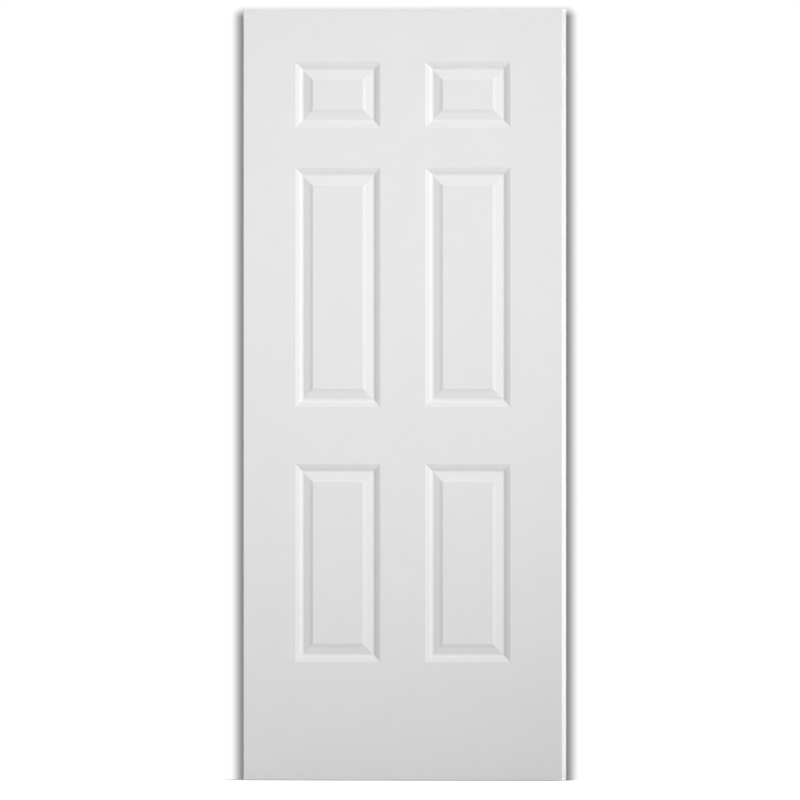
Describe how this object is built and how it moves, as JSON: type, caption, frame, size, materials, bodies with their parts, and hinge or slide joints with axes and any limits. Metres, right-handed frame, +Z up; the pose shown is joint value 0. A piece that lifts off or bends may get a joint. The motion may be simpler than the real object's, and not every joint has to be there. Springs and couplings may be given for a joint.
{
  "type": "steel panel door",
  "caption": "Insulated entrance door leaf with steel facings pressed into raised panels, a wood frame and foam core inside, and hinge pockets along one edge.",
  "frame": {"origin": "middle of the bottom edge, half-way through the thickness", "axes": "+Z up, +X towards the lock edge, +Y from the outer face to the inner face"},
  "size_m": [0.8572, 0.0444, 2.0129],
  "materials": {
    "primed_steel": "satin",
    "primed_wood": "matte",
    "bare_wood": "matte",
    "foam": "matte",
    "staple_wire": "satin"
  },
  "bodies": {
    "root": {"exterior_skin": "primed_steel", "interior_skin": "primed_steel", "hinge_stile": "primed_wood", "lock_stile": "primed_wood", "top_rail": "primed_wood", "bottom_rail": "primed_wood", "lock_block": "bare_wood", "foam_core": "foam", "corner_staples": "staple_wire"}
  },
  "joints": []
}
